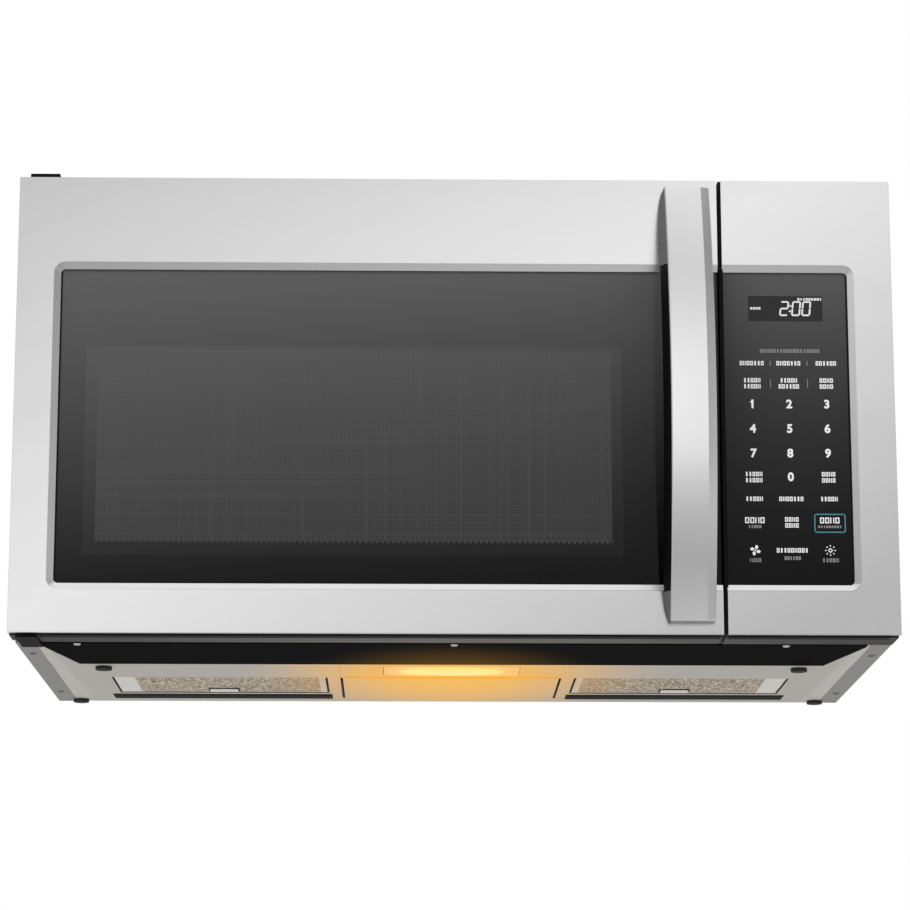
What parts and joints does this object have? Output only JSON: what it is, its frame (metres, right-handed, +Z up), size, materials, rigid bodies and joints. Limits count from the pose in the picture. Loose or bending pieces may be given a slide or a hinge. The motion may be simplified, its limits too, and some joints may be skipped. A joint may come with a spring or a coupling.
{
  "type": "over-the-range microwave oven",
  "caption": "Stainless microwave oven for mounting above a cooktop: side-hinged windowed door, bowed bar handle, touch panel, vent filters and cooktop lamp underneath.",
  "frame": {"origin": "on the ground under the middle of the overall box, where the four feet stand", "axes": "+Z up, the front with the door faces -Y, +X to the right as seen from the front"},
  "size_m": [0.759, 0.433, 0.4115],
  "materials": {
    "stainless": "brushed across the width",
    "dark_glass": "gloss, printed dark behind",
    "clear_pane": "gloss",
    "black_plastic": "fine moulded grain",
    "white_plastic": "satin",
    "circuit_board": "solder mask",
    "black_paint": "satin",
    "pan_paint": "satin warm grey",
    "dark_sheet": "satin dark grey",
    "zinc_sheet": "zinc plated",
    "oven_enamel": "light grey enamel",
    "core_iron": "varnished laminations",
    "filter_metal": "expanded mesh, slightly warm",
    "foot_rubber": "matt",
    "tray_glass": "clear, slightly green",
    "lamp_glass": "frosted, lit warm",
    "mica_sheet": "matt sheet"
  },
  "bodies": {
    "cabinet": {"control_skin": "stainless", "control_glass": "dark_glass", "control_housing": "black_plastic", "control_board": "circuit_board", "display_module": "black_plastic", "cabinet_shell": "dark_sheet", "rear_panel": "zinc_sheet", "front_plate": "zinc_sheet", "chassis_plate": "zinc_sheet", "cord_gland": "black_plastic", "hinge_upper": "black_paint", "hinge_lower": "black_paint", "air_panel": "black_plastic", "base_pan": "pan_paint", "service_cover": "pan_paint", "lamp_holder": "white_plastic", "lamp_bulb": "lamp_glass", "foot_1": "foot_rubber", "foot_2": "foot_rubber", "foot_3": "foot_rubber", "foot_4": "foot_rubber", "cavity_liner": "oven_enamel", "turntable_motor": "zinc_sheet", "waveguide": "zinc_sheet", "waveguide_cover": "mica_sheet", "magnetron": "zinc_sheet", "transformer": "core_iron", "capacitor": "zinc_sheet", "cooling_fan_frame": "black_plastic", "latch_board": "white_plastic", "latch_switch_lower": "black_plastic", "latch_switch_upper": "black_plastic", "blower_housing": "zinc_sheet", "vent_motor": "core_iron", "exhaust_collar": "zinc_sheet"},
    "door": {"door_skin": "stainless", "door_glass": "dark_glass", "door_screen": "black_paint", "door_inner_frame": "black_plastic", "door_inner_pane": "clear_pane", "door_handle": "stainless", "handle_post_upper": "black_plastic", "handle_post_lower": "black_plastic"},
    "latch": {"latch_slider": "white_plastic"},
    "coupler": {"turntable_coupler": "white_plastic"},
    "tray": {"glass_tray": "tray_glass"},
    "ring": {"roller_ring": "white_plastic"},
    "roller_a": {"roller_1": "white_plastic"},
    "roller_b": {"roller_2": "white_plastic"},
    "roller_c": {"roller_3": "white_plastic"},
    "vent_rotor": {"vent_shaft": "zinc_sheet", "vent_wheel_left": "white_plastic", "vent_wheel_right": "white_plastic"},
    "fan_rotor": {"cooling_fan_wheel": "white_plastic"},
    "damper": {"damper_flap": "zinc_sheet"},
    "lens": {"lamp_lens": "lamp_glass"},
    "filter_left": {"filter_frame_left": "filter_metal", "filter_mesh_left": "filter_metal"},
    "filter_right": {"filter_frame_right": "filter_metal", "filter_mesh_right": "filter_metal"}
  },
  "joints": [
    {"name": "door_swing", "type": "hinge", "parent": "cabinet", "child": "door", "pos_m": [-0.365, -0.1485, 0.2], "axis": [0, 0, -1], "range_deg": [0, 110]},
    {"name": "latch_slide", "type": "slide", "parent": "door", "child": "latch", "axis": [0, 0, 1], "range_m": [0, 0.004], "stiffness_N_per_m": 250, "springref_m": -0.004},
    {"name": "turntable_spin", "type": "hinge", "parent": "cabinet", "child": "coupler", "pos_m": [-0.08435, 0.04055, 0.07], "axis": [0, 0, 1], "continuous": true},
    {"name": "tray_lift", "type": "slide", "parent": "coupler", "child": "tray", "axis": [0, 0, 1], "range_m": [0, 0.04]},
    {"name": "ring_spin", "type": "hinge", "parent": "cabinet", "child": "ring", "pos_m": [-0.08435, 0.04055, 0.0715], "axis": [0, 0, 1], "continuous": true},
    {"name": "roller_a_spin", "type": "hinge", "parent": "ring", "child": "roller_a", "pos_m": [0.02765, 0.04055, 0.0715], "axis": [1, 0, 0], "continuous": true},
    {"name": "roller_b_spin", "type": "hinge", "parent": "ring", "child": "roller_b", "pos_m": [-0.14035, 0.13754, 0.0715], "axis": [-0.5, 0.866, 0], "continuous": true},
    {"name": "roller_c_spin", "type": "hinge", "parent": "ring", "child": "roller_c", "pos_m": [-0.14035, -0.05644, 0.0715], "axis": [-0.5, -0.866, 0], "continuous": true},
    {"name": "vent_spin", "type": "hinge", "parent": "cabinet", "child": "vent_rotor", "pos_m": [0, 0.1215, 0.3434], "axis": [1, 0, 0], "continuous": true},
    {"name": "fan_spin", "type": "hinge", "parent": "cabinet", "child": "fan_rotor", "pos_m": [0.2462, 0.19, 0.2117], "axis": [0, 1, 0], "continuous": true},
    {"name": "damper_swing", "type": "hinge", "parent": "cabinet", "child": "damper", "pos_m": [0, 0.153, 0.4054], "axis": [-1, 0, 0], "range_deg": [0, 80]},
    {"name": "lens_swing", "type": "hinge", "parent": "cabinet", "child": "lens", "pos_m": [0, 0.007, 0.004], "axis": [-1, 0, 0], "range_deg": [0, 75]},
    {"name": "filter_left_drop", "type": "slide", "parent": "cabinet", "child": "filter_left", "axis": [0, 0, -1], "range_m": [0, 0.04]},
    {"name": "filter_right_drop", "type": "slide", "parent": "cabinet", "child": "filter_right", "axis": [0, 0, -1], "range_m": [0, 0.04]}
  ],
  "couplings": [
    {"joint": "ring_spin", "follows": "turntable_spin", "ratio": 0.5},
    {"joint": "roller_a_spin", "follows": "turntable_spin", "ratio": -7.4667},
    {"joint": "roller_b_spin", "follows": "turntable_spin", "ratio": -7.4667},
    {"joint": "roller_c_spin", "follows": "turntable_spin", "ratio": -7.4667}
  ]
}
